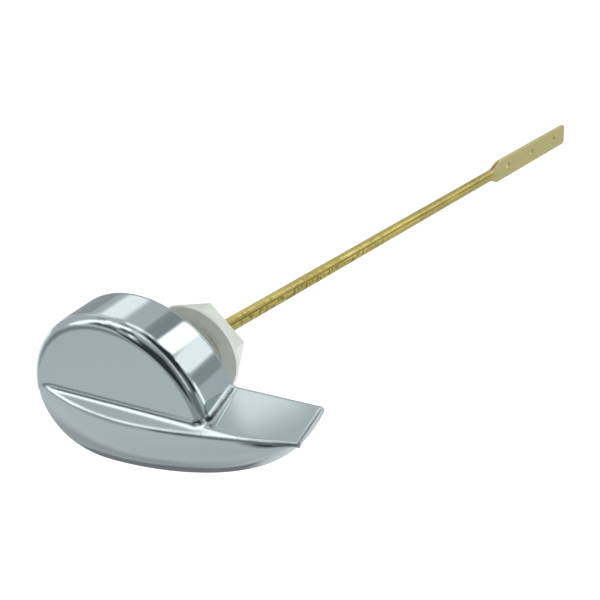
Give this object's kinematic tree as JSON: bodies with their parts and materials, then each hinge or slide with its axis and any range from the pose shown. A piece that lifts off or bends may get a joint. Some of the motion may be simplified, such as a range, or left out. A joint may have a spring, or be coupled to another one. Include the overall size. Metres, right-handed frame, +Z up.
{
  "type": "cistern lever",
  "caption": "Chrome cistern flush lever with a winged round handle, white plastic bush and nut, and a long brass trip arm with chain holes",
  "frame": {"origin": "on the spindle axis, in the plane of the cistern wall's outer face, where the washer bears", "axes": "+Y runs along the spindle into the cistern, +X points along the wing, +Z is up; the user stands on the -Y side"},
  "size_m": [0.0748, 0.2485, 0.0514],
  "materials": {
    "chrome": "bright chrome plating on a zinc casting",
    "white_plastic": "off-white moulded plastic, slightly glossy",
    "rubber": "dark soft rubber",
    "spring_steel": "bare spring steel",
    "brass": "drawn brass, slightly dulled, with faint cross marks"
  },
  "bodies": {
    "mounting": {"bush": "white_plastic", "washer": "rubber"},
    "lever": {"handle": "chrome", "arm": "brass", "clip": "spring_steel", "cross_pin": "spring_steel"},
    "lock_nut": {"nut": "white_plastic"}
  },
  "joints": [
    {"name": "lever_turn", "type": "hinge", "parent": "mounting", "child": "lever", "pos_m": [0, 0, 0], "axis": [0, 1, 0], "range_deg": [0, 40]},
    {"name": "nut_travel", "type": "slide", "parent": "mounting", "child": "lock_nut", "axis": [0, 1, 0], "range_m": [-0.0117, 0.002]}
  ]
}
